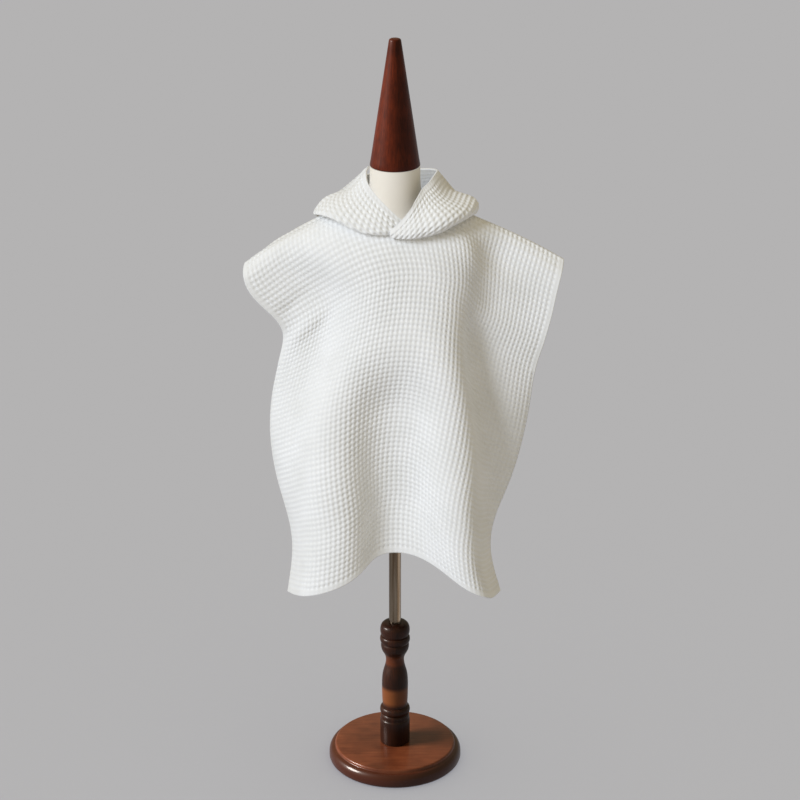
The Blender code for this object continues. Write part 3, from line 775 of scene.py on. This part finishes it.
def hood_cloth(name, half, nets, normals, materials):
    """Half the hood, from the neck seam over its fold to the rim, with its waffle
    in the mesh, a turned band along the rim and a seam down the back."""
    places = np.linspace(-HOOD_OVERLAP[half], 1 - SEAM_GAP, HOOD_COLUMNS)
    inner = np.zeros((HOOD_COLUMNS, HOOD_ROWS, 3))
    for i, place in enumerate(places):
        seam, outward = neck_seam(half, place, nets, normals)
        out, up = hood_section(half, place)
        inner[i] = seam + out[:, None] * outward + up[:, None] * np.array([0, 0, 1.0])
    inner[-1, :, 0] = half * SEAM_GAP / 2
    along, around = np.gradient(inner, axis=1), np.gradient(inner, axis=0)
    normal = half * np.cross(along, around)
    normal /= np.linalg.norm(normal, axis=2, keepdims=True)
    normal[-1, :, 0] = 0
    step = np.linalg.norm(np.diff(inner, axis=1), axis=2)
    length = np.concatenate([np.zeros((HOOD_COLUMNS, 1)), np.cumsum(step, axis=1)], axis=1)
    from_rim = length[:, -1:] - length
    ring = inner[:, int(HOOD_ROWS * HOOD_GIRTH_SHARE)]
    girth = np.r_[0, np.cumsum(np.linalg.norm(np.diff(ring, axis=0), axis=1))]
    girth = np.repeat(girth[:, None], HOOD_ROWS, axis=1)
    u, v = from_rim / CELL_ACROSS, girth / CELL_DOWN
    to_back = girth[-1, 0] - girth
    band = 1 - smooth((from_rim - BAND_WIDTH) / BAND_EDGE + 1)
    groove = bell((from_rim - BAND_WIDTH) / GROOVE_HALF_WIDTH)
    sewn = bell(to_back / SEAM_HALF_WIDTH) + bell(length / SEAM_HALF_WIDTH)
    sewn = sewn + bell(girth / HOOD_FRONT_SEAM_HALF_WIDTH)
    pits = 1 - rib_height(u, v)
    relief = RIB_PROUD - HOOD_PIT_DEPTH * pits * unevenness(u, v)
    relief = relief * (1 - BAND_PRESS * band) + BAND_THICK * band - GROOVE_DEPTH * groove
    relief -= SEAM_SINK * np.clip(sewn, 0, 1)
    # The woven face is the one that looks away from the neck.
    face = inner - normal * relief[..., None]
    bulge = HOOD_BACK_PROUD + HOOD_BULGE_SHARE * PIT_DEPTH * pits * (1 - band)
    reverse = inner + normal * (WALL + bulge)[..., None]
    index = np.arange(HOOD_COLUMNS * HOOD_ROWS).reshape(HOOD_COLUMNS, HOOD_ROWS)
    other = index + index.size
    points = np.concatenate([face.reshape(-1, 3), reverse.reshape(-1, 3)])
    faces = grid_faces(index) + rim_faces(border(index), border(other), 1)
    reverse_from = len(faces)
    faces += grid_faces(other[:, ::-1])
    uvs = np.stack([from_rim.ravel(), girth.ravel()], axis=1)
    return make_cloth(name, points, faces, np.concatenate([uvs, uvs]), materials, reverse_from)


# --------------------------------------------------------------------- dress form
def lathe(name, profile, material, sides=96, deep=None):
    """A turned piece from rows of radius and height; deep gives the half depth
    of each row where it is oval."""
    bm = bmesh.new()
    angles = np.linspace(0, 2 * math.pi, sides, endpoint=False)
    loops = []
    for k, (radius, z) in enumerate(profile):
        depth = radius if deep is None else deep[k]
        loops.append([bm.verts.new((radius * math.cos(a), depth * math.sin(a), z)) for a in angles])
    for lower, upper in zip(loops, loops[1:]):
        for i in range(sides):
            k = (i + 1) % sides
            bm.faces.new((lower[i], lower[k], upper[k], upper[i]))
    bm.faces.new(loops[0][::-1])
    bm.faces.new(loops[-1])
    mesh = bpy.data.meshes.new(name)
    bm.to_mesh(mesh)
    bm.free()
    mesh.materials.append(material)
    mesh.shade_smooth()
    mesh.set_sharp_from_angle(angle=math.radians(42))
    piece = bpy.data.objects.new(name, mesh)
    bpy.context.scene.collection.objects.link(piece)
    return piece


def bead(radius, swell, low, high, count=9):
    """Rows of a half-round ring between two heights."""
    rows = []
    for k in range(count + 1):
        angle = math.pi * k / count
        z = (low + high) / 2 - (high - low) / 2 * math.cos(angle)
        rows.append((radius + swell * math.sin(angle), z))
    return rows


def base_profile():
    """Undercut foot, rounded lip, and a step up to the flat top."""
    rows = [
        (BASE_RADIUS - 0.0050, 0.0), (BASE_RADIUS - 0.0030, 0.0012), (BASE_RADIUS - 0.0010, 0.0035),
        (BASE_RADIUS, 0.0065), (BASE_RADIUS, 0.0120),
    ]
    for k in range(1, 10):
        angle = math.pi / 2 * k / 9
        radius = BASE_RADIUS - 0.0095 * (1 - math.cos(angle))
        rows.append((radius, 0.0120 + 0.0145 * math.sin(angle)))
    rows += [
        (BASE_RADIUS - 0.0104, 0.0267), (BASE_RADIUS - 0.0112, 0.0277), (BASE_RADIUS - 0.0115, 0.0300),
        (BASE_RADIUS - 0.0120, 0.0317), (BASE_RADIUS - 0.0132, 0.0326),
        (BASE_RADIUS - 0.0150, BASE_THICKNESS),
    ]
    return rows


def post_profile():
    """Foot, light line, ring, belly, waist and three rings, from the bottom up."""
    foot = BASE_THICKNESS + SEAM_GAP
    rows = [(0.0262, foot), (0.0272, foot + 0.001), (0.0275, foot + 0.0025), (0.0275, 0.0790)]
    rows += [(0.0272, 0.0806), (0.0264, 0.0818), (0.0258, 0.0826), (0.0257, 0.0840), (0.0262, 0.0880)]
    rows += [(0.0256, 0.0915), (0.0248, 0.0925)] + bead(0.0240, 0.0037, 0.0932, 0.1076)
    belly_z = np.linspace(0.1086, 0.2180, 40)
    knots_z = (0.1086, 0.1180, 0.1350, 0.1500, 0.1670, 0.1780, 0.1925, 0.2030, 0.2110, 0.2180)
    knots_r = (0.0226, 0.0233, 0.0239, 0.0241, 0.0236, 0.0221, 0.0182, 0.0167, 0.0176, 0.0204)
    rows += list(zip(spline(knots_z, knots_r, belly_z), belly_z))
    rows += [(0.0226, 0.2215), (0.0246, 0.2260), (0.0257, 0.2310), (0.0258, 0.2350), (0.0252, 0.2378)]
    rows += [(0.0243, 0.2392)] + bead(0.0243, 0.0033, 0.2398, 0.2538) + [(0.0246, 0.2546), (0.0256, 0.2564)]
    rows += [(0.0266, 0.2595), (0.0271, 0.2640), (0.0270, 0.2680), (0.0262, 0.2722), (0.0246, 0.2757)]
    rows += [(0.0222, 0.2782), (0.0190, 0.2795), (0.0150, POST_TOP)]
    return rows


def cap_profile():
    """Tall cone with an eased foot and a small round tip."""
    bottom = NECK_TOP + SEAM_GAP
    rows = [
        (NECK_RADIUS - 0.0012, bottom), (NECK_RADIUS - 0.0002, bottom + 0.0008),
        (NECK_RADIUS, bottom + 0.002),
    ]
    shoulder = CAP_TOP - 0.0035
    for share in np.linspace(0.05, 1, 20):
        radius = NECK_RADIUS + (CAP_TIP_RADIUS - NECK_RADIUS) * share
        rows.append((radius, bottom + (shoulder - bottom) * share))
    rows += [
        (CAP_TIP_RADIUS - 0.0008, CAP_TOP - 0.0014), (CAP_TIP_RADIUS - 0.0026, CAP_TOP - 0.0003),
        (CAP_TIP_RADIUS - 0.0050, CAP_TOP),
    ]
    return rows


def torso_rows():
    """Radii, heights and depths of the padded torso, evenly spaced."""
    table = np.array(TORSO_SECTIONS)
    chord = np.r_[0, np.cumsum(np.hypot(np.diff(table[:, 0]), np.diff(table[:, 1])))]
    share = np.linspace(0, chord[-1], 90)
    z, wide, deep = (np.interp(share, chord, table[:, k]) for k in range(3))
    for _ in range(3):
        wide[1:-1] = (wide[:-2] + 2 * wide[1:-1] + wide[2:]) / 4
        deep[1:-1] = (deep[:-2] + 2 * deep[1:-1] + deep[2:]) / 4
    return list(zip(wide, z)), deep


# ------------------------------------------------------------------------- build
cotton = waffle_cotton("bleached_waffle_cotton", False)
cotton_reverse = waffle_cotton("bleached_waffle_cotton_reverse", True)
cap_wood = stained_wood("stained_beech_cap", "#3a1207", "#58200b", "Z", 0.06, ())
# The post's belly and waist are worn paler.
post_bands = ((0.122, 0.142, 0.012, "#5c341a"), (0.200, 0.212, 0.008, "#43200f"))
post_wood = stained_wood("stained_beech_post", "#1f0f09", "#33190e", "Z", 0.12, post_bands)
# Painted shade: the base's rim below its flat top is darkened.
base_rim_shade_bands = ((0.0, 0.0245, 0.006, "#331509"),)
base_wood = stained_wood("stained_beech_base", "#5a2b19", "#6e3d25", "X", 0.35, base_rim_shade_bands)
cover = close_cotton("unbleached_close_cotton")
steel = polished_steel("polished_steel_tube")

nets = {side: panel_net(side) for side in (FRONT, BACK)}
net_directions = {side: net_normals(nets[side], side) for side in (FRONT, BACK)}
cloth_pieces = {}
for side, node in ((FRONT, "front_panel"), (BACK, "back_panel")):
    cloth_pieces[node] = panel_cloth(node + "_cloth", side, nets[side], (cotton, cotton_reverse))
for half, node in ((LEFT, "hood_left"), (RIGHT, "hood_right")):
    cloth_pieces[node] = hood_cloth(node + "_cloth", half, nets, net_directions, (cotton, cotton))

torso_profile, torso_depth = torso_rows()
pole_profile = [(POLE_RADIUS, POST_TOP + SEAM_GAP), (POLE_RADIUS, TORSO_BOTTOM - SEAM_GAP)]
form_pieces = {
    "base_disc": lathe("base_disc_turned", base_profile(), base_wood, 128),
    "turned_post": lathe("turned_post_detailed", post_profile(), post_wood),
    "pole": lathe("pole_tube", pole_profile, steel),
    "torso": lathe("torso_padded", torso_profile, cover, 96, torso_depth),
    "neck_cap": lathe("neck_cap_turned", cap_profile(), cap_wood),
}
for node, piece in {**cloth_pieces, **form_pieces}.items():
    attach(piece, "root")
    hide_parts(node)

# -------------------------------------------------------------------------- stage
floor_mesh = bpy.data.meshes.new("studio_floor")
reach = 30.0
floor_corners = [(-reach, -reach, 0), (reach, -reach, 0), (reach, reach, 0), (-reach, reach, 0)]
floor_mesh.from_pydata(floor_corners, [], [(0, 1, 2, 3)])
floor = bpy.data.objects.new("studio_floor", floor_mesh)
bpy.context.scene.collection.objects.link(floor)
floor_paint, _, _ = new_material("matt_grey_studio_floor", "#bfc3d0", 0.95, Specular_IOR_Level=0.0)
floor_mesh.materials.append(floor_paint)

world = bpy.data.worlds.new("studio")
bpy.context.scene.world = world
world.use_nodes = True
world.node_tree.nodes["Background"].inputs["Color"].default_value = linear("#fff1cf")
world.node_tree.nodes["Background"].inputs["Strength"].default_value = 0.43


def add_light(name, kind, energy, colour, location, target, **settings):
    """A lamp at a location, turned towards its target."""
    light = bpy.data.lights.new(name, kind)
    light.energy = energy
    light.color = linear(colour)[:3]
    for key, value in settings.items():
        setattr(light, key, value)
    lamp = bpy.data.objects.new(name, light)
    lamp.location = location
    way = np.array(target, float) - np.array(location, float)
    lamp.rotation_euler = (
        math.acos(-way[2] / np.linalg.norm(way)), 0.0, math.atan2(way[1], way[0]) - math.pi / 2
    )
    bpy.context.scene.collection.objects.link(lamp)
    return lamp


# The key light falls on the cloth and the steel, a lower light on the form's
# cover, a window low at the left on the dark wood, a strip low at the right on
# the tube, and an even light on the floor.
padded, cloth_only, covered, turned, tube_only = (
    bpy.data.collections.new(name)
    for name in ("cloth_and_steel", "cloth_only", "covered_torso", "turned_wood", "tube_only")
)
for piece in cloth_pieces.values():
    padded.objects.link(piece)
    cloth_only.objects.link(piece)
padded.objects.link(form_pieces["pole"])
tube_only.objects.link(form_pieces["pole"])
covered.objects.link(form_pieces["torso"])
for node in ("neck_cap", "turned_post", "base_disc"):
    turned.objects.link(form_pieces[node])
floor_only = bpy.data.collections.new("floor_only")
floor_only.objects.link(floor)
key = add_light("key", "SUN", 2.1, "#e8f1ff", (-3.2, -3.2, 2.6), (0, 0, 0), angle=math.radians(24))
key.light_linking.receiver_collection = padded
key.light_linking.blocker_collection = cloth_only
neck_light = add_light(
    "neck_light", "SUN", 2.1, "#f6f9ff", (-3.5, -3.1, 1.9), (0, 0, 0), angle=math.radians(30)
)
neck_light.light_linking.receiver_collection = covered
neck_light.light_linking.blocker_collection = covered
window = add_light("window", "SUN", 8.3, "#fff8f2", (-4.0, -0.7, 1.9), (0, 0, 0), angle=math.radians(24))
window.light_linking.receiver_collection = turned
strip = add_light("strip", "SUN", 0.8, "#ffffff", (4.0, -0.5, -1.7), (0, 0, 0), angle=math.radians(60))
strip.light_linking.receiver_collection = tube_only
strip.light_linking.blocker_collection = tube_only
even = add_light("even", "SUN", 1.4, "#ffffff", (0.0, 0.0, 5.0), (0.001, 0, 0.0), angle=math.radians(60))
even.light_linking.receiver_collection = floor_only
even.light_linking.blocker_collection = floor_only

bpy.context.scene.view_settings.view_transform = "Standard"

camera_data = bpy.data.cameras.new("camera")
camera_data.sensor_width = 36.0
camera_data.lens = 113.85
camera_data.shift_x = 0.00625
camera = bpy.data.objects.new("camera", camera_data)
camera.location = (0.0, -4.13, 2.4125)
camera.rotation_euler = (math.radians(67.7), 0.0, 0.0)
bpy.context.scene.collection.objects.link(camera)
bpy.context.scene.camera = camera
